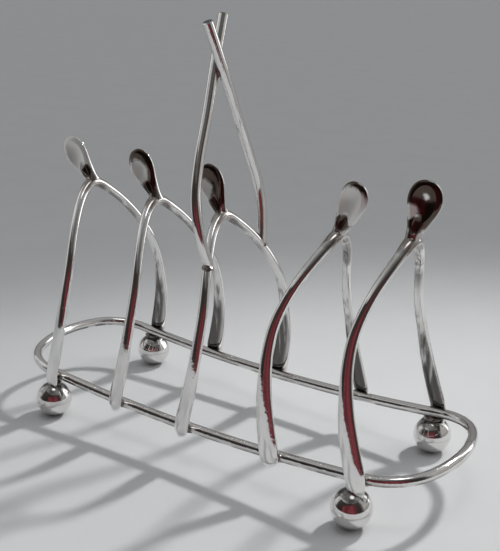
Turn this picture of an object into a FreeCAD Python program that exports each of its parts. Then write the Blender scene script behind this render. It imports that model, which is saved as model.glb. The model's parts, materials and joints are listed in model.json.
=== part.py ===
"""Wishbone toast rack: a bent wire ring, five cast wishbones standing on its outer face,
four ball feet under the end wishbones and a handle of two crossed rods, all soldered.
Millimetres, +Z up, origin on the table under the middle of the ring, +X along the rack,
+Y from the front legs to the rear legs."""
import FreeCAD, Part
import math
import os

# base ring: one round wire with straight sides and bowed ends, rising at both ends
WIRE_R = 1.5
RING_HALF_LENGTH = 74.5
RING_HALF_WIDTH = 22.9
RING_END_R = 36.0
RING_CORNER_R = 15.5
RING_FOOT_HEIGHT = 13.8
RING_RISE = 2.7
FOOT_END_X = 55.0
RING_POINTS = 96
SEAM_Y = 6.0
SEAM_WIDTH = 0.3
SEAM_DEPTH = 0.15

# ball feet: two pressed half shells each, soldered at the equator
BALL_R = 5.65
BALL_WALL = 0.7
BALL_Y = 24.8
BALL_FLAT = 0.12

# wishbone castings: foot position, side the head leans to, tilt, turn, then the head's
# own lean, twist and rise above the neck
WISHBONES = (
    (-53.8, -1, 0.4, 1.5, 43.0, 0.0, 1.1),
    (-27.6, -1, 0.0, -0.2, 32.0, 0.0, 0.9),
    (-1.3, -1, 0.7, 0.6, 24.0, 0.0, -0.2),
    (29.6, 1, 1.2, 0.8, 23.0, -10.0, 0.5),
    (56.0, 1, -3.0, 0.0, 15.0, 5.0, 1.2),
)
MIDDLE = 2
# stations up one leg: height above the wire, half spread, lean, width, thickness
MIDDLE_TIP = (
    (-2.1, 25.6, 0.3, 2.2, 1.1),
    (-1.5, 25.6, 0.3, 3.8, 1.6),
    (-0.6, 25.6, 0.2, 5.0, 2.1),
)
END_TIP = (
    (-4.9, 25.3, 0.3, 3.4, 1.8),
    (-3.6, 25.4, 0.3, 4.2, 2.0),
    (-1.6, 25.6, 0.2, 5.1, 2.2),
)
LEG = (
    (1.0, 25.5, 0.0, 5.6, 2.35),
    (4.2, 25.3, -0.7, 5.6, 2.4),
    (9.0, 24.9, -1.8, 5.3, 2.3),
    (14.0, 24.4, -2.8, 4.9, 2.3),
    (20.0, 23.5, -3.6, 4.2, 2.4),
    (28.0, 21.8, -4.2, 3.4, 2.5),
    (36.0, 19.2, -4.0, 3.1, 2.6),
    (42.0, 16.4, -2.8, 2.9, 2.6),
    (48.0, 12.7, -0.9, 2.9, 2.5),
    (52.9, 8.6, 1.1, 3.1, 2.6),
    (56.4, 4.7, 2.5, 3.5, 2.9),
)
FOOT_TWIST = 13.0
OVAL_POINTS = 12
NECK = (58.7, 3.2, 4.3, 3.3)
HEAD_LENGTH = 16.0
# stations up the head: share of its length, width, thickness
HEAD = (
    (-0.09, 3.6, 4.6),
    (-0.01, 4.0, 3.9),
    (0.08, 4.4, 3.3),
    (0.20, 5.4, 3.0),
    (0.36, 7.0, 2.7),
    (0.54, 8.9, 2.6),
    (0.70, 9.3, 2.4),
    (0.84, 8.1, 2.2),
    (0.94, 5.6, 1.8),
    (0.99, 2.6, 1.2),
)
DISH_CENTRE = 0.62
DISH_HALF_LENGTH = 5.6
DISH_HALF_WIDTH = 4.0
DISH_DEPTH = 1.05
DISH_BALL = 4.0
DISH_FACE = 1.25
POCKET_CENTRE = 0.27
POCKET_HALF_LENGTH = 3.6
POCKET_HALF_WIDTH = 1.4
POCKET_DEPTH = 1.0

# handle: two round rods, crossed near the top and standing on the middle wishbone
ROD_R = 1.55
ROD_TOPS = {1: 125.4, -1: 126.8}
CROSS_HEIGHT = 113.0
CROSS_OFFSET = 1.5
CROSS_FADE = 40.0
ROD_EDGE = 0.25
# stations down the rear rod: height, offset across the rack, lean along the rack
ROD = (
    (120.0, -3.1, -7.2),
    (113.0, -0.3, -6.6),
    (106.0, 2.5, -6.0),
    (98.0, 5.9, -5.4),
    (90.0, 9.7, -4.9),
    (84.0, 12.4, -4.3),
    (79.0, 14.4, -3.6),
    (74.0, 15.5, -2.8),
    (69.0, 15.5, -2.0),
    (64.0, 14.7, -1.3),
    (60.0, 13.6, -0.6),
    (56.5, 12.6, 0.0),
)
# the rods stop at a slope just above the middle line of the leg that they stand on
ROD_FOOT = (12.9, 59.4)
ROD_FOOT_SLOPE = 56.0


def V(x, y, z):
    return FreeCAD.Vector(x, y, z)


def ring_height(x):
    """Height of the wire's centre, lowest at the middle of the rack."""
    return RING_FOOT_HEIGHT + RING_RISE * ((x / FOOT_END_X) ** 2 - 1)


def arc(centre_x, centre_y, radius, start, end, count):
    points = []
    for i in range(count):
        angle = start + (end - start) * i / count
        points.append((centre_x + radius * math.cos(angle), centre_y + radius * math.sin(angle)))
    return points


def quarter_outline(count=100):
    """Quarter of the ring's plan, from the end's middle to the side's middle."""
    end_x = RING_HALF_LENGTH - RING_END_R
    corner_y = RING_HALF_WIDTH - RING_CORNER_R
    corner_x = end_x + math.sqrt((RING_END_R - RING_CORNER_R) ** 2 - corner_y ** 2)
    join = math.atan2(corner_y, corner_x - end_x)
    points = arc(end_x, 0, RING_END_R, 0, join, count)
    points += arc(corner_x, corner_y, RING_CORNER_R, join, math.pi / 2, count)
    for i in range(count):
        points.append((corner_x * (1 - i / count), RING_HALF_WIDTH))
    return points


def ring_path():
    """Points spread evenly once round the ring, starting at the butt seam."""
    quarter = quarter_outline()
    half = quarter + [(-x, y) for x, y in reversed(quarter)]
    plan = half + [(-x, -y) for x, y in half]
    seam = min(range(len(quarter) // 3), key=lambda i: abs(plan[i][1] - SEAM_Y))
    plan = plan[seam:] + plan[:seam + 1]
    fine = [V(x, y, ring_height(x)) for x, y in plan]
    run = [0.0]
    for a, b in zip(fine, fine[1:]):
        run.append(run[-1] + a.distanceToPoint(b))
    points = []
    k = 0
    for i in range(RING_POINTS):
        want = run[-1] * i / RING_POINTS
        while run[k + 1] <= want:
            k += 1
        share = (want - run[k]) / (run[k + 1] - run[k])
        points.append(fine[k] + (fine[k + 1] - fine[k]) * share)
    return points


def tube(points, radius, upright, periodic=False):
    """Round wire swept along a smooth curve; upright keeps the section from rolling."""
    curve = Part.BSplineCurve()
    curve.interpolate(Points=points, PeriodicFlag=periodic)
    start = curve.value(curve.FirstParameter)
    along = curve.tangent(curve.FirstParameter)[0]
    section = Part.Wire(Part.Circle(start, along, radius).toShape())
    sweep = Part.BRepOffsetAPI.MakePipeShell(Part.Wire(curve.toShape()))
    sweep.setBiNormalMode(upright)
    sweep.add(section)
    sweep.build()
    sweep.makeSolid()
    return sweep.shape(), start, along


def make_ring():
    body, start, along = tube(ring_path(), WIRE_R, V(0, 0, 1), True)
    back = start - along * (SEAM_WIDTH / 2)
    band = Part.makeCylinder(2 * WIRE_R, SEAM_WIDTH, back, along)
    core = Part.makeCylinder(WIRE_R - SEAM_DEPTH, SEAM_WIDTH, back, along)
    return body.cut(band.cut(core))


def oval(centre, across, through, width, thick):
    """Oval wire through evenly spread points, so that all sections of a loft match."""
    points = []
    for i in range(OVAL_POINTS):
        angle = 2 * math.pi * (i / OVAL_POINTS + 0.25)
        points.append(centre + across * (math.cos(angle) * width / 2)
                      + through * (math.sin(angle) * thick / 2))
    curve = Part.BSplineCurve()
    places = [i / OVAL_POINTS for i in range(OVAL_POINTS + 1)]
    curve.interpolate(Points=points, Parameters=places, PeriodicFlag=True)
    return Part.Wire(curve.toShape())


def loft(stations):
    """Solid through oval sections; each is (centre, width, thickness, width's direction)."""
    wires = []
    last = len(stations) - 1
    for i, (centre, width, thick, wide) in enumerate(stations):
        along = stations[min(i + 1, last)][0] - stations[max(i - 1, 0)][0]
        along.normalize()
        across = wide - along * along.dot(wide)
        across.normalize()
        wires.append(oval(centre, across, along.cross(across), width, thick))
    return Part.makeLoft(wires, True, False)


def on_rack(stance, height, offset, lean):
    """A point of a wishbone, carried from the casting to its place on the rack."""
    foot_x, side, tilt, turn = stance
    t = math.radians(tilt)
    x = lean * math.cos(t) + height * math.sin(t)
    z = height * math.cos(t) - lean * math.sin(t)
    x = side * x + math.radians(turn) * offset
    return V(foot_x + x, offset, ring_height(foot_x) + z)


def make_leg(stance, row, tip):
    """Stations of one leg from its rounded tip up; row is -1 in front and +1 behind."""
    stations = []
    for height, spread, lean, width, thick in tip + LEG:
        twist = math.radians(FOOT_TWIST) * (1 - max(height, 0) / NECK[0])
        wide = V(math.cos(twist), -row * stance[1] * math.sin(twist), 0)
        place = on_rack(stance, height, row * spread, lean)
        stations.append((place, width, thick, wide))
    return stations


def make_arch(stance, tip):
    front = make_leg(stance, -1, tip)
    rear = make_leg(stance, 1, tip)
    height, lean, width, thick = NECK
    top = (on_rack(stance, height, 0, lean), width, thick, V(1, 0, 0))
    return loft(front + [top] + rear[::-1])


def ellipsoid(rx, ry, rz, y, z):
    grow = FreeCAD.Matrix()
    grow.scale(rx, ry, rz)
    shape = Part.makeSphere(1.0).transformGeometry(grow)
    shape.translate(V(0, y, z))
    return shape


def make_head(stance, lean, twist, rise):
    """The spoon-shaped head: built upright, twisted, leaned over and placed."""
    stations = [(V(0, 0, share * HEAD_LENGTH), w, t, V(1, 0, 0)) for share, w, t in HEAD]
    head = loft(stations)
    proud = DISH_BALL - DISH_DEPTH
    grow = 1 / math.sqrt(1 - (proud / DISH_BALL) ** 2)
    dish = ellipsoid(DISH_HALF_WIDTH * grow, DISH_BALL, DISH_HALF_LENGTH * grow,
                     -DISH_FACE - proud, DISH_CENTRE * HEAD_LENGTH)
    pocket = ellipsoid(POCKET_HALF_WIDTH, POCKET_DEPTH, POCKET_HALF_LENGTH,
                       -DISH_FACE, POCKET_CENTRE * HEAD_LENGTH)
    head = head.cut(dish).cut(pocket)
    head.rotate(V(0, 0, 0), V(0, 0, 1), twist)
    head.rotate(V(0, 0, 0), V(0, 1, 0), stance[1] * lean)
    head.translate(on_rack(stance, NECK[0] + rise, 0, NECK[1]))
    return head


def make_wishbone(spec, tip, seats):
    """One casting, with each foot cut to sit against the wire and, at the ends, the ball."""
    stance, head = spec[:4], spec[4:]
    body = make_arch(stance, tip)
    for other in seats:
        body = body.cut(other)
    return body.fuse(make_head(stance, *head))


def half_ball(centre, up):
    low, high = (0, 90) if up else (-90, 0)
    outer = Part.makeSphere(BALL_R, centre, V(0, 0, 1), low, high, 360)
    inner = Part.makeSphere(BALL_R - BALL_WALL, centre, V(0, 0, 1), low, high, 360)
    return outer.cut(inner)


def rod_path(row):
    """Row +1 stands on the rear leg and crosses on the +X side; row -1 is its twin."""
    points = []
    over = (ROD_TOPS[row] - ROD[0][0]) / (ROD[1][0] - ROD[0][0])
    top = tuple(a + over * (b - a) for a, b in zip(ROD[0], ROD[1]))
    for height, offset, lean in (top,) + ROD:
        fade = min(abs(height - CROSS_HEIGHT) / CROSS_FADE, 1.0)
        clear = CROSS_OFFSET * math.cos(fade * math.pi / 2)
        points.append(V(lean + row * clear, row * offset, height))
    return points


def under_leg(row):
    box = Part.makeBox(20, 40, 10, V(-10, -20, -10))
    box.rotate(V(0, 0, 0), V(1, 0, 0), -row * ROD_FOOT_SLOPE)
    box.translate(V(0, row * ROD_FOOT[0], ROD_FOOT[1]))
    return box


def make_rod(row, seats):
    body = tube(rod_path(row), ROD_R, V(1, 0, 0))[0]
    for other in [under_leg(row)] + seats:
        body = body.cut(other)
    round_edges = [e for e in body.Edges if abs(e.Length - 2 * math.pi * ROD_R) < 0.1]
    top = [e for e in round_edges if e.CenterOfMass.z > ROD[0][0]]
    return body.makeChamfer(ROD_EDGE, top)


def save(name, shape):
    """Writes one solid; cuts leave it inside a compound, so it is taken out first."""
    solids = shape.Solids
    if len(solids) != 1 or not solids[0].isValid():
        raise ValueError("%s: %d solids, or not valid" % (name, len(solids)))
    solids[0].exportStep("parts/%s.step" % name)
    print("%-24s %8.2f mm3" % (name, solids[0].Volume))


def main():
    os.makedirs("parts", exist_ok=True)
    ring = make_ring()
    save("base_ring", ring)
    centres = {}
    for end, x in (("left", -FOOT_END_X), ("right", FOOT_END_X)):
        for place, row in (("front", -1), ("rear", 1)):
            centres[end, place] = V(x, row * BALL_Y, BALL_R - BALL_FLAT)
    below = Part.makeBox(400, 400, 50, V(-200, -200, -50))
    for (end, place), centre in centres.items():
        save("ball_%s_%s_upper" % (end, place), half_ball(centre, True).cut(ring))
        save("ball_%s_%s_lower" % (end, place), half_ball(centre, False).cut(below))
    wishbones = []
    for number, spec in enumerate(WISHBONES, 1):
        balls = [Part.makeSphere(BALL_R, c) for c in centres.values() if c.x * spec[0] > 0]
        at_end = number in (1, len(WISHBONES))
        tip, seats = (END_TIP, [ring] + balls) if at_end else (MIDDLE_TIP, [ring])
        wishbones.append(make_wishbone(spec, tip, seats))
        save("wishbone_%d" % number, wishbones[-1])
    rear_rod = make_rod(1, [wishbones[MIDDLE]])
    save("handle_rod_rear", rear_rod)
    save("handle_rod_front", make_rod(-1, [wishbones[MIDDLE], rear_rod]))


main()
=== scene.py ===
import bmesh
import bpy
import json
import math
from mathutils import Matrix, Vector, noise


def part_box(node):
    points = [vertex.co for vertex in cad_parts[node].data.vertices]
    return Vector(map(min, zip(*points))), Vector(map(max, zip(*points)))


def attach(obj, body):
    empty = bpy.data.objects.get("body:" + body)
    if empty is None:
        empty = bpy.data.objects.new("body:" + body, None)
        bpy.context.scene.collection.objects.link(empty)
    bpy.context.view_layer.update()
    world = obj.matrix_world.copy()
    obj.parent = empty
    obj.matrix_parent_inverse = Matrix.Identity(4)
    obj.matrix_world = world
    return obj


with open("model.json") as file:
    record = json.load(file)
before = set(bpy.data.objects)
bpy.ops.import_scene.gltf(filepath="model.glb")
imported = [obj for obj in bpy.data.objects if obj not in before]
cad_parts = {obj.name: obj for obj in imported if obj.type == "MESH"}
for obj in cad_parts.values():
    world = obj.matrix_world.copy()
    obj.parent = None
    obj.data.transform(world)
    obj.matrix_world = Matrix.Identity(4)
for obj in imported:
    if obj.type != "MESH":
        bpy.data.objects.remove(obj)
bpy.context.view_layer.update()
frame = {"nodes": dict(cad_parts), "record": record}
SCENE = bpy.context.scene

# camera: direction, place, lens and sensor shift
YAW, PITCH, ROLL = 0.61058, 0.32449, 0.00659
CAMERA_AT = Vector((0.158047, -0.220121, 0.145344))
LENS = 62.83
SHIFT = (0.0036, -0.0134)
TO_CAMERA = Vector((math.sin(YAW), -math.cos(YAW), 0))
TO_RIGHT = Vector((math.cos(YAW), math.sin(YAW), 0))

# tones of worn silver, and the painted shade, painted reflections and painted highlight laid on it
CREVICE = (0.075, 0.058, 0.045, 1)
# laid as tarnish, and also as painted shade on the rear legs, the undersides and the ball tops
TARNISH_AND_PAINTED_SHADE = (0.050, 0.043, 0.038, 1)
SEAM = (0.16, 0.14, 0.12, 1)
# pale worn satin in a head's hollow, which also stands in as a painted reflection of pale surroundings
SCOURED_WITH_PAINTED_REFLECTION = (0.78, 0.77, 0.75, 1)
# painted dark reflection in a head's hollow, and painted shade in its pocket
PAINTED_DARK_REFLECTION_AND_SHADE = (0.10, 0.075, 0.062, 1)
DULL_NECK = (0.24, 0.205, 0.185, 1)

# the ball feet, the ring's wire and the hollow of a head, in metres
BALL_SEAM_HEIGHT = 0.00553
WIRE_RADIUS = 0.0015
HOLLOW_RADIUS = 0.0078
HOLLOW_EDGE = 0.0012
POCKET_RADIUS = 0.0026
HEAD_TOP_TO_HOLLOW = 0.0060
HOLLOW_TO_POCKET = 0.0064
HOLLOW_FACE_Y = -0.0010
HEAD_TOP_SPAN = 0.010
FRAY = 0.0016

# half sizes of the lumps of solder, in metres
LEG_BEAD = (0.0036, 0.0011, 0.0013)
BALL_BEAD = (0.0025, 0.0017, 0.0010)
ROD_BEAD = (0.0018, 0.0017, 0.0009)
CROSS_BEAD = (0.0008, 0.0012, 0.0030)
FLOOR_REACH = 30.0


# --- shader helpers ---------------------------------------------------------

class Shader:
    """Short calls for building a node tree."""

    def __init__(self, owner):
        owner.use_nodes = True
        self.tree = owner.node_tree

    def add(self, kind, sockets=None, **settings):
        made = self.tree.nodes.new("ShaderNode" + kind)
        for key, value in settings.items():
            setattr(made, key, value)
        for key, value in (sockets or {}).items():
            if isinstance(value, bpy.types.NodeSocket):
                self.tree.links.new(value, made.inputs[key])
            else:
                made.inputs[key].default_value = value
        return made

    def math(self, operation, a, b=0.0):
        return self.add("Math", {0: a, 1: b}, operation=operation).outputs[0]

    def ramp(self, factor, *stops):
        """Two stops, each (place, colour)."""
        made = self.add("ValToRGB", {"Fac": factor})
        for element, (place, color) in zip(made.color_ramp.elements, stops):
            element.position = place
            element.color = (*color, 1)
        return made.outputs["Color"]

    def mix(self, factor, a, b):
        made = self.add("Mix", data_type="RGBA")
        for key, kind, value in (("Factor", "VALUE", factor), ("A", "RGBA", a), ("B", "RGBA", b)):
            socket = next(s for s in made.inputs if s.name == key and s.type == kind)
            if isinstance(value, bpy.types.NodeSocket):
                self.tree.links.new(value, socket)
            else:
                socket.default_value = value
        return next(s for s in made.outputs if s.type == "RGBA")

    def step(self, value, low, high):
        """0 below low, 1 above high, smooth between; low may be the larger."""
        limits = {"Value": value, "From Min": low, "From Max": high}
        return self.add("MapRange", limits, interpolation_type="SMOOTHSTEP").outputs["Result"]

    def place(self):
        return self.add("TexCoord").outputs["Object"]

    def cloud(self, place, scale, detail, roughness=0.5):
        sockets = {"Vector": place, "Scale": scale, "Detail": detail, "Roughness": roughness}
        return self.add("TexNoise", sockets).outputs["Fac"]

    def stretched(self, place, turn, scale):
        return self.add("Mapping", {"Vector": place, "Rotation": turn, "Scale": scale}).outputs[0]

    def inverse(self, value):
        return self.math("SUBTRACT", 1.0, value)

    def plus(self, value, other, share):
        """value + other * share"""
        return self.math("ADD", value, self.math("MULTIPLY", other, share))

    def finish(self, bsdf, color, rough, metallic, height, strength, depth):
        """Joins the last values to the surface; metallic may be a number."""
        self.tree.links.new(color, bsdf.inputs["Base Color"])
        self.tree.links.new(rough, bsdf.inputs["Roughness"])
        if isinstance(metallic, bpy.types.NodeSocket):
            self.tree.links.new(metallic, bsdf.inputs["Metallic"])
        else:
            bsdf.inputs["Metallic"].default_value = metallic
        bump = self.add("Bump", {"Height": height, "Strength": strength, "Distance": depth})
        self.tree.links.new(bump.outputs["Normal"], bsdf.inputs["Normal"])


def grey(v, warm=0.0):
    return (v * (1 + warm), v, v * (1 - warm), 1)


# --- materials --------------------------------------------------------------

def silver(name, tone, wear, seam=None, tarnish_and_shade=None, bowl=None):
    """Polished silver plate: fine scratches, faint cloudy tarnish and dark crevices.
    seam is the height of a soldered seam; dull(shader) returns where the dark tone is laid, which is
    tarnish and also painted shade on the rear legs, the undersides and the ball tops;
    bowl holds the points and the radius that bowl_masks needs to paint reflections, a highlight and the
    pocket's shade in a head's hollow."""
    mat = bpy.data.materials.new(name)
    s = Shader(mat)
    bsdf = s.tree.nodes["Principled BSDF"]
    place = s.place()

    clouds = s.cloud(place, 180.0, 5.0, 0.6)
    brushed = s.cloud(s.stretched(place, (0.35, 0.2, 0.5), (2600.0, 2600.0, 110.0)), 1.0, 3.0)
    marks = s.stretched(place, (0.9, 0.4, 1.2), (900.0, 900.0, 120.0))
    cells = s.add("TexVoronoi", {"Vector": marks, "Scale": 1.0}, feature="DISTANCE_TO_EDGE")
    scratch = s.step(cells.outputs["Distance"], 0.035, 0.0)
    scratched = s.math("MULTIPLY", scratch, s.step(s.cloud(place, 700.0, 2.0), 0.5, 0.65))
    closeness = s.add("AmbientOcclusion", {"Distance": 0.0022}, samples=8).outputs["AO"]
    crevice = s.step(s.plus(closeness, clouds, 0.25), 0.80, 0.42)

    cloudy = s.math("MULTIPLY", s.step(clouds, 0.50, 0.78), wear)
    color = s.mix(cloudy, grey(tone, 0.012), grey(tone * 0.80, 0.05))
    color = s.mix(crevice, color, CREVICE)
    rough = s.plus(0.035, clouds, 0.09)
    metallic = 1.0
    if tarnish_and_shade is not None:
        # the dark tone: tarnish, and painted shade on the rear legs, the undersides and the ball tops
        color = s.mix(s.math("MULTIPLY", tarnish_and_shade(s), 0.90), color, TARNISH_AND_PAINTED_SHADE)
    if seam is not None:
        height = s.add("SeparateXYZ", {"Vector": place}).outputs["Z"]
        away = s.math("ABSOLUTE", s.math("SUBTRACT", height, seam))
        line = s.math("MULTIPLY", s.step(away, 0.00012, 0.00003), 0.4)
        color = s.mix(line, color, SEAM)
    if bowl is not None:
        scoured_with_painted_reflection, dark, neck = bowl_masks(s, place, bowl)
        # the pale worn satin also stands in as a painted reflection, the dark part is a painted reflection
        # and the pocket's painted shade, with a clean spot left as a painted highlight
        color = s.mix(neck, color, DULL_NECK)
        color = s.mix(scoured_with_painted_reflection, color, SCOURED_WITH_PAINTED_REFLECTION)
        color = s.mix(dark, color, PAINTED_DARK_REFLECTION_AND_SHADE)
        rough = s.plus(s.plus(rough, scoured_with_painted_reflection, 0.24), s.math("ADD", dark, neck), 0.06)
        metallic = s.inverse(s.math("MULTIPLY", scoured_with_painted_reflection, 0.62))
    rough = s.plus(s.plus(rough, scratched, 0.12), crevice, 0.30)

    height = s.plus(s.math("MULTIPLY", brushed, 0.25), scratched, -0.5)
    height = s.plus(height, s.cloud(place, 120.0, 1.5), 14.0)
    s.finish(bsdf, color, rough, metallic, height, 0.30, 0.000012)
    return mat


def spread(s, *axes):
    """Position and normal sockets, such as "pz" or "ny"."""
    place = s.add("SeparateXYZ", {"Vector": s.place()})
    normal = s.add("SeparateXYZ", {"Vector": s.add("NewGeometry").outputs["Normal"]})
    return [(place if a[0] == "p" else normal).outputs[a[1].upper()] for a in axes]


def product(s, *factors):
    value = factors[0]
    for other in factors[1:]:
        value = s.math("MULTIPLY", value, other)
    return value


def distance(s, place, point):
    return s.add("VectorMath", {0: place, 1: point}, operation="DISTANCE").outputs["Value"]


def frayed(s, value, noise_value, amount):
    """A value made uneven by noise."""
    return s.plus(value, s.math("SUBTRACT", noise_value, 0.5), amount)


def bowl_masks(s, place, bowl):
    """Masks of a head's hollow side: the worn satin part, which is also a painted pale reflection; the dark
    part, which is a painted dark reflection with a clean spot left as a painted highlight, and painted
    shade in the pocket; and the darker, rougher front of its neck.
    """
    middle, pale_at, pale_radius, pocket, painted_highlight_at = bowl
    front = spread(s, "ny")[0]
    fray = s.cloud(place, 620.0, 3.0)
    facing = s.step(front, -0.30, -0.62)
    inside = s.step(distance(s, place, middle), HOLLOW_RADIUS, HOLLOW_RADIUS - HOLLOW_EDGE)
    hollow = product(s, facing, inside)
    away = frayed(s, distance(s, place, pale_at), fray, FRAY)
    pale = s.step(away, pale_radius + FRAY / 2, pale_radius - FRAY / 2)
    away = frayed(s, distance(s, place, pocket), fray, FRAY)
    # the pocket where the legs fork: painted shade
    deep = product(s, facing, s.step(away, POCKET_RADIUS, POCKET_RADIUS - FRAY / 2))
    scoured_with_painted_reflection = product(s, hollow, pale, s.inverse(deep))
    # a clean spot in the painted dark reflection, left as a painted highlight
    painted_highlight = s.step(frayed(s, distance(s, place, painted_highlight_at), fray, FRAY), 0.0008, 0.0015)
    painted_dark_reflection = product(s, hollow, s.inverse(pale), painted_highlight)
    below = pocket * 2 - middle
    low = s.step(frayed(s, distance(s, place, below), fray, 2 * FRAY), 0.0062, 0.0030)
    neck = product(s, s.step(front, 0.25, -0.35), low, 0.85)
    return scoured_with_painted_reflection, s.math("MAXIMUM", painted_dark_reflection, deep), neck


def rear_leg_tarnish_and_shade(s):
    """Tarnish and painted shade on the inner faces of the rear legs, darkest at the foot and streaky
    further up.
    """
    y, z, facing, side = spread(s, "py", "pz", "ny", "nx")
    streak = s.cloud(s.stretched(s.place(), (0, 0, 0), (800.0, 800.0, 26.0)), 1.0, 4.0)
    amount = s.step(frayed(s, s.step(z, 0.060, 0.014), streak, 1.8), 0.15, 0.85)
    inner = product(s, s.step(y, 0.012, 0.018), s.step(facing, -0.1, -0.7), s.step(side, 0.75, 0.30))
    return product(s, inner, amount)


def underside_shade_and_tarnish(s):
    """Painted shade, with tarnish, on the undersides, in patches."""
    patch = s.step(s.cloud(s.place(), 170.0, 3.0), 0.36, 0.54)
    return product(s, s.step(spread(s, "nz")[0], -0.05, -0.60), patch)


def casting_tarnish_and_shade(s):
    """Tarnish and painted shade on the rear legs, and painted shade with tarnish on the undersides of the
    arms.
    """
    arms = s.step(spread(s, "pz")[0], 0.050, 0.060)
    return s.math("MAXIMUM", rear_leg_tarnish_and_shade(s), product(s, underside_shade_and_tarnish(s), arms, 0.8))


def ball_top_painted_shade(s):
    """Painted shade on the top of each ball, round its joint."""
    height = frayed(s, spread(s, "pz")[0], s.cloud(s.place(), 420.0, 3.0), 0.0036)
    return s.math("MULTIPLY", s.step(height, 0.0088, 0.0104), 0.8)


def dull_ends(s):
    """The sawn ends of the rods."""
    z, facing = spread(s, "pz", "nz")
    return product(s, s.step(z, 0.122, 0.123), s.step(facing, 0.75, 0.88))


def solder():
    mat = bpy.data.materials.new("solder")
    s = Shader(mat)
    grain = s.cloud(s.place(), 900.0, 4.0)
    color = s.ramp(grain, (0.35, (0.12, 0.10, 0.09)), (0.62, (0.45, 0.43, 0.41)))
    s.finish(s.tree.nodes["Principled BSDF"], color, s.plus(0.18, grain, 0.3), 1.0, grain, 0.5, 0.0002)
    return mat


# --- stage ------------------------------------------------------------------

def mesh_object(name, points, faces, material):
    mesh = bpy.data.meshes.new(name)
    mesh.from_pydata(points, [], faces)
    mesh.update()
    mesh.materials.append(material)
    made = bpy.data.objects.new(name, mesh)
    SCENE.collection.objects.link(made)
    return made


def floor():
    mat = bpy.data.materials.new("floor")
    s = Shader(mat)
    bsdf = s.tree.nodes["Principled BSDF"]
    color = s.mix(s.cloud(s.place(), 40.0, 4.0), (0.66, 0.68, 0.70, 1), (0.72, 0.735, 0.75, 1))
    s.tree.links.new(color, bsdf.inputs["Base Color"])
    bsdf.inputs["Roughness"].default_value = 0.85
    r = FLOOR_REACH
    corners = [(-r, -r, 0), (r, -r, 0), (r, r, 0), (-r, r, 0)]
    made = mesh_object("floor", corners, [(0, 1, 2, 3)], mat)


def glossy_only(made):
    """A studio card that only shows as a reflection in the metal."""
    for flag in ("visible_camera", "visible_diffuse", "visible_shadow", "visible_transmission"):
        setattr(made, flag, False)


def glow_material(name):
    mat = bpy.data.materials.new(name)
    s = Shader(mat)
    s.tree.nodes.clear()
    return mat, s


def card(name, centre, facing, width, height, color):
    """An upright card with a mottled glow that fades out at its sides and top."""
    mat, s = glow_material(name)
    place = s.add("TexCoord").outputs["Generated"]
    deep = tuple(c * 0.6 for c in color[:3]) + (1,)
    shade = s.mix(s.step(s.cloud(place, 3.0, 2.0), 0.35, 0.65), deep, color)
    glow = s.add("Emission", {"Color": shade, "Strength": 1.0})
    parts = s.add("SeparateXYZ", {"Vector": place}).outputs
    sides = product(s, s.step(parts["X"], 0.0, 0.14), s.step(parts["X"], 1.0, 0.86))
    inside = product(s, sides, s.step(parts["Z"], 1.0, 0.70))
    clear = s.add("BsdfTransparent")
    faded = s.add("MixShader", {0: inside, 1: clear.outputs[0], 2: glow.outputs[0]})
    s.add("OutputMaterial", {"Surface": faded.outputs[0]})
    side = Vector((0, 0, 1)).cross(facing).normalized() * (width / 2)
    up = Vector((0, 0, height / 2))
    corners = [centre - side - up, centre + side - up, centre + side + up, centre - side + up]
    glossy_only(mesh_object(name, corners, [(0, 1, 2, 3)], mat))


def screen(radius, height, stops, steps=48):
    """A curved card round the front of the rack. stops are (degrees to the left, colour)."""
    mat, s = glow_material("screen")
    tone = s.add("Attribute", attribute_name="tone")
    up = s.add("SeparateXYZ", {"Vector": s.place()}).outputs["Z"]
    patchy = s.plus(0.55, s.cloud(s.place(), 22.0, 3.0), 0.9)
    strength = s.math("MULTIPLY", patchy, s.plus(1.0, up, 3.0))
    glow = s.add("Emission", {"Color": tone.outputs["Color"], "Strength": strength})
    s.add("OutputMaterial", {"Surface": glow.outputs[0]})
    points, faces, tones = [], [], []
    first, last = stops[0][0], stops[-1][0]
    for i in range(steps + 1):
        left = first + (last - first) * i / steps
        k = max(j for j in range(len(stops) - 1) if stops[j][0] <= left)
        share = (left - stops[k][0]) / (stops[k + 1][0] - stops[k][0])
        shade = [x + (y - x) * share for x, y in zip(stops[k][1], stops[k + 1][1])]
        away = TO_CAMERA * math.cos(math.radians(left)) - TO_RIGHT * math.sin(math.radians(left))
        points += [away * radius, away * radius + Vector((0, 0, height))]
        tones += [(*shade, 1)] * 2
        if i:
            faces.append((2 * i - 2, 2 * i - 1, 2 * i + 1, 2 * i))
    made = mesh_object("screen", points, faces, mat)
    layer = made.data.color_attributes.new("tone", "FLOAT_COLOR", "POINT")
    for entry, shade in zip(layer.data, tones):
        entry.color = shade
    glossy_only(made)


def spot(name, place, target, radius, power, cone, blend, color=(1, 1, 1)):
    data = bpy.data.lights.new(name, "SPOT")
    data.shadow_soft_size = radius
    data.energy = power
    data.spot_size = math.radians(cone)
    data.spot_blend = blend
    data.color = color
    made = bpy.data.objects.new(name, data)
    SCENE.collection.objects.link(made)
    made.location = place
    made.rotation_mode = "QUATERNION"
    made.rotation_quaternion = (target - place).to_track_quat("-Z", "Y")


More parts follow.
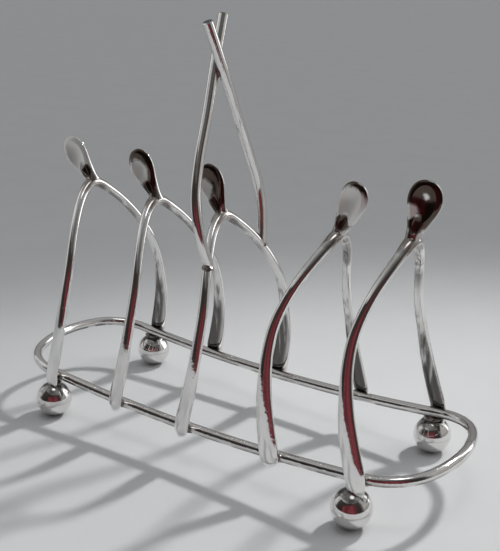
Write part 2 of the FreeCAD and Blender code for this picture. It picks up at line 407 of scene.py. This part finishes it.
def room():
    """Soft studio surroundings: dim in front, pale at the left, bright at the back right."""
    world = bpy.data.worlds.new("room")
    SCENE.world = world
    s = Shader(world)
    s.tree.nodes.clear()
    way = s.add("TexCoord").outputs["Generated"]

    def toward(direction, low, high):
        aim = s.add("VectorMath", {0: way, 1: direction.normalized()}, operation="DOT_PRODUCT")
        return s.step(aim.outputs["Value"], low, high)

    up = s.add("SeparateXYZ", {"Vector": way}).outputs["Z"]
    color = s.mix(s.step(up, 0.05, 0.9), grey(0.22, 0.03), grey(0.42))
    color = s.mix(toward(TO_CAMERA + Vector((0, 0, 0.4)), 0.3, 0.95), color, grey(0.12, 0.02))
    color = s.mix(toward(-TO_RIGHT + TO_CAMERA * 0.25 + Vector((0, 0, 0.3)), 0.75, 0.93), color, grey(0.60))
    color = s.mix(toward(TO_RIGHT - TO_CAMERA * 0.25 + Vector((0, 0, 0.35)), 0.86, 0.95), color, grey(2.2))
    glow = s.add("Background", {"Color": color, "Strength": 0.84})
    s.add("OutputWorld", {"Surface": glow.outputs[0]})


def camera():
    back = TO_CAMERA * math.cos(PITCH) + Vector((0, 0, math.sin(PITCH)))
    right = (-back).cross(Vector((0, 0, 1))).normalized()
    up = right.cross(-back)
    c, s = math.cos(ROLL), math.sin(ROLL)
    right, up = right * c + up * s, up * c - right * s
    data = bpy.data.cameras.new("camera")
    made = bpy.data.objects.new("camera", data)
    SCENE.collection.objects.link(made)
    turn = Matrix((right, up, back)).transposed().to_4x4()
    made.matrix_world = Matrix.Translation(CAMERA_AT) @ turn
    data.lens = LENS
    data.shift_x, data.shift_y = SHIFT
    data.clip_start = 0.01
    SCENE.camera = made


# --- the object -------------------------------------------------------------

def where(name, *limits):
    """Middle of a CAD node's vertices that lie within limits, each (axis, low, high) in metres."""
    found = [v.co for v in frame["nodes"][name].data.vertices
             if all(low <= v.co[axis] <= high for axis, low, high in limits)]
    return sum(found, Vector()) / len(found)


def bead(grow, centre, radii, seed):
    """Adds a lump of solder to the bmesh: an uneven flattened drop."""
    ball = bmesh.ops.create_icosphere(grow, subdivisions=4, radius=1.0)
    for v in ball["verts"]:
        broad = 0.16 * noise.noise(v.co * 1.7 + Vector((seed, 0, 0)))
        small = 0.05 * noise.noise(v.co * 5 + Vector((0, seed, 0)))
        bump = 1 + broad + small
        v.co = Vector(c + r * bump * x for c, r, x in zip(centre, radii, v.co))


def solder_piece(name, beads):
    grow = bmesh.new()
    for seed, (centre, radii) in enumerate(beads):
        bead(grow, centre, radii, seed * 3.7 + len(name))
    mesh = bpy.data.meshes.new(name)
    grow.to_mesh(mesh)
    grow.free()
    mesh.polygons.foreach_set("use_smooth", [True] * len(mesh.polygons))
    mesh.materials.append(SOLDER)
    made = bpy.data.objects.new(name, mesh)
    SCENE.collection.objects.link(made)
    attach(made, "root")


def wishbone_beads(number):
    """Solder where the two legs meet the ring and, at the ends of the rack, the balls."""
    low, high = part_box("base_ring")
    row_y = high.y - WIRE_RADIUS
    end = {1: "left", 5: "right"}.get(number)
    beads = []
    for row, place in ((-1, "front"), (1, "rear")):
        side = (1, 0.020, 0.030) if row > 0 else (1, -0.030, -0.020)
        foot = where("wishbone_%d" % number, side, (2, 0.010, 0.0145))
        height = where("base_ring", (0, foot.x - 0.002, foot.x + 0.002), side).z
        centre = Vector((foot.x, row * (row_y + 0.0008), height - 0.0002))
        beads.append((centre, LEG_BEAD))
        if end:
            ball = "ball_%s_%s_upper" % (end, place)
            bottom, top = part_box(ball)
            middle = (bottom + top) / 2
            centre = Vector((middle.x, middle.y - row * 0.0009, top.z - 0.0001))
            beads.append((centre, BALL_BEAD))
    return beads


def handle_beads():
    """Solder under the feet of the rods and where they cross."""
    beads = []
    for rod in ("handle_rod_front", "handle_rod_rear"):
        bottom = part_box(rod)[0].z
        foot = where(rod, (2, bottom, bottom + 0.0022))
        beads.append((foot + Vector((0, 0, -0.0010)), ROD_BEAD))
    level = (2, 0.110, 0.116)
    cross = (where("handle_rod_front", level) + where("handle_rod_rear", level)) / 2
    beads.append((cross, CROSS_BEAD))
    return beads


def add_solder():
    for number in range(1, 6):
        name = "solder_wishbone_%d" % number
        solder_piece(name, wishbone_beads(number))
    solder_piece("solder_handle", handle_beads())


def bowl(name, lean, pale, radius, painted_highlight):
    """Points of a head's hollow, from its CAD node; the painted pale reflection and the painted highlight
    are measured from its middle.
    """
    low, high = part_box(name)
    top = [v.co.x for v in frame["nodes"][name].data.vertices if v.co.z > high.z - HEAD_TOP_SPAN]
    middle = Vector(((min(top) + max(top)) / 2, HOLLOW_FACE_Y, high.z - HEAD_TOP_TO_HOLLOW))
    down = Vector((-math.sin(math.radians(lean)), 0, -math.cos(math.radians(lean))))
    pocket = middle + down * HOLLOW_TO_POCKET
    return middle, middle + Vector(pale), radius, pocket, middle + Vector(painted_highlight)


# lean of each head in degrees, then in metres the worn satin part of its hollow, also a painted pale
# reflection (place and radius) and the place of the painted highlight, a small clean spot in the painted
# dark reflection
HEADS = {
    "wishbone_1": (-43, (0.0, 0, 0.0), 0.0090, (0, 0, 0.002)),
    "wishbone_2": (-32, (-0.0018, 0, -0.0016), 0.0040, (0, 0, 0)),
    "wishbone_3": (-24, (-0.0026, 0, -0.0022), 0.0034, (0.0, 0, -0.001)),
    "wishbone_4": (23, (-0.0002, 0, -0.0010), 0.0056, (0, 0, 0)),
    "wishbone_5": (15, (-0.0034, 0, -0.0028), 0.0021, (0.0004, 0, 0.0016)),
}
# one material for each slot, and one for each wishbone, because the heads are worn differently and carry
# different painted reflections and highlights
MATERIALS = {
    # the ring's undersides and the balls' tops carry painted shade
    "ring_wire": silver("ring_wire", 0.78, 0.7, tarnish_and_shade=underside_shade_and_tarnish),
    "ball_shell": silver("ball_shell", 0.80, 0.7, seam=BALL_SEAM_HEIGHT, tarnish_and_shade=ball_top_painted_shade),
    "handle_rod": silver("handle_rod", 0.80, 0.5, tarnish_and_shade=dull_ends),
}
for name, hollow in HEADS.items():
    MATERIALS[name] = silver(name, 0.82, 0.6, tarnish_and_shade=casting_tarnish_and_shade, bowl=bowl(name, *hollow))
SOLDER = solder()
SLOT = {row["node"]: row["material_slot"] for row in frame["record"]["subparts"]}
for name, piece in frame["nodes"].items():
    piece.data.materials.clear()
    piece.data.materials.append(MATERIALS.get(name) or MATERIALS[SLOT[name]])

add_solder()
camera()
floor()
room()
card_centre = TO_CAMERA * 0.17 - TO_RIGHT * 0.06 + Vector((0, 0, 0.045))
card("card_front", card_centre, TO_CAMERA, 0.32, 0.21, (0.18, 0.042, 0.05, 1))
screen(0.24, 0.24, (
    (-100, (0.34, 0.33, 0.32)), (-58, (0.30, 0.29, 0.28)), (-46, (0.03, 0.026, 0.024)),
    (45, (0.02, 0.016, 0.014)), (84, (0.035, 0.03, 0.028)),
    (96, (0.40, 0.40, 0.40)), (125, (0.50, 0.50, 0.50)),
))
key_place = TO_RIGHT * 0.60 - TO_CAMERA * 0.50 + Vector((0, 0, 0.80))
pool_place = TO_CAMERA * 0.25 + Vector((0, 0, 1.2))
spot("key", key_place, TO_CAMERA * 0.13, 0.05, 29.0, 29, 0.8, (1.0, 0.985, 0.96))
spot("pool", pool_place, TO_CAMERA * 0.19, 0.35, 13.0, 25, 0.8)
SCENE.view_settings.view_transform = "Standard"
